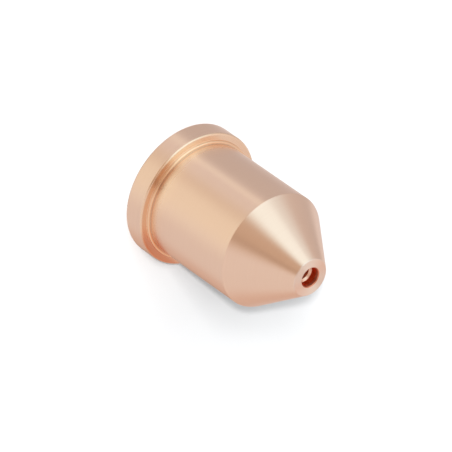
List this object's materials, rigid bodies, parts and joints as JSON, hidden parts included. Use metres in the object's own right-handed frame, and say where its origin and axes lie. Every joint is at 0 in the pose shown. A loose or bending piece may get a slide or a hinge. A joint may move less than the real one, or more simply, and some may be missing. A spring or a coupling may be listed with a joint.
{
  "type": "plasma torch nozzle",
  "caption": "Turned copper nozzle for a plasma torch, with a flanged back, a plain barrel, a cone nose and a stepped arc hole through its flat tip.",
  "frame": {"origin": "centre of the back face of the flange, on which the nozzle stands", "axes": "+Z along the turning axis, from the back face to the tip; X and Y are any two square directions, because the part is the same all round"},
  "size_m": [0.021, 0.021, 0.0286],
  "materials": {
    "copper": "fine-turned bare copper, satin"
  },
  "bodies": {
    "root": {"nozzle": "copper"}
  },
  "joints": []
}
